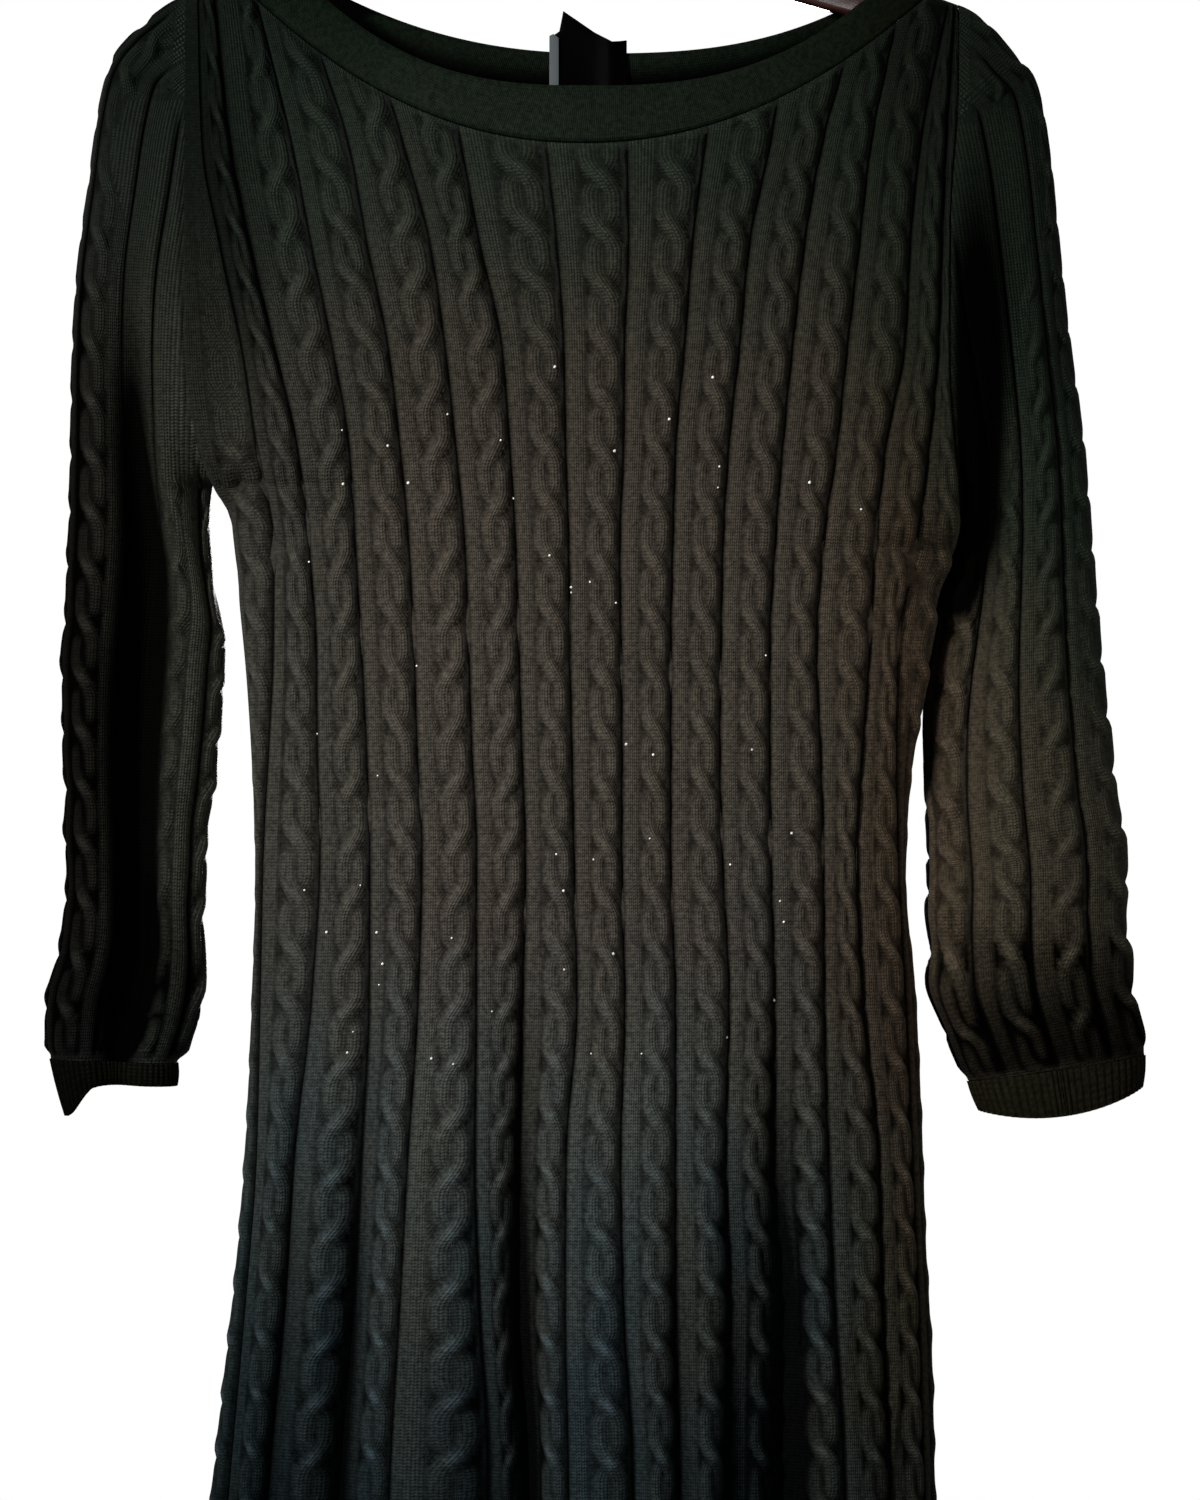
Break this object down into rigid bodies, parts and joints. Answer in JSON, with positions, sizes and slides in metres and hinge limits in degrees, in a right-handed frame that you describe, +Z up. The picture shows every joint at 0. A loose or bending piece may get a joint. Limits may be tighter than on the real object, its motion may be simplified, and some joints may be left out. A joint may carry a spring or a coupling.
{
  "type": "sweater dress on a hanger",
  "caption": "Cable-knit sweater dress with a wide boat neck, bracelet sleeves and a flared skirt, hung on a wooden hanger with a steel hook.",
  "frame": {"origin": "inside top of the hanger's hook, where a rail carries it", "axes": "+Z up, the front of the dress faces -Y, the wearer's right sleeve is on -X"},
  "size_m": [0.5499, 0.0964, 1.0937],
  "materials": {
    "charcoal_cable_knit": "matte cabled knit",
    "charcoal_plain_knit": "matte plain knit",
    "black_woven_label": "satin weave",
    "pale_woven_tab": "plain weave",
    "mahogany_stained_wood": "satin varnish",
    "polished_steel": "polished"
  },
  "bodies": {
    "root": {"front_panel": "charcoal_cable_knit", "back_panel": "charcoal_cable_knit", "sleeve_left": "charcoal_cable_knit", "sleeve_right": "charcoal_cable_knit", "cuff_left": "charcoal_plain_knit", "cuff_right": "charcoal_plain_knit", "neckband": "charcoal_plain_knit", "neck_label": "black_woven_label", "size_tab": "pale_woven_tab", "hanger_arms": "mahogany_stained_wood", "hanger_hook": "polished_steel"}
  },
  "joints": []
}
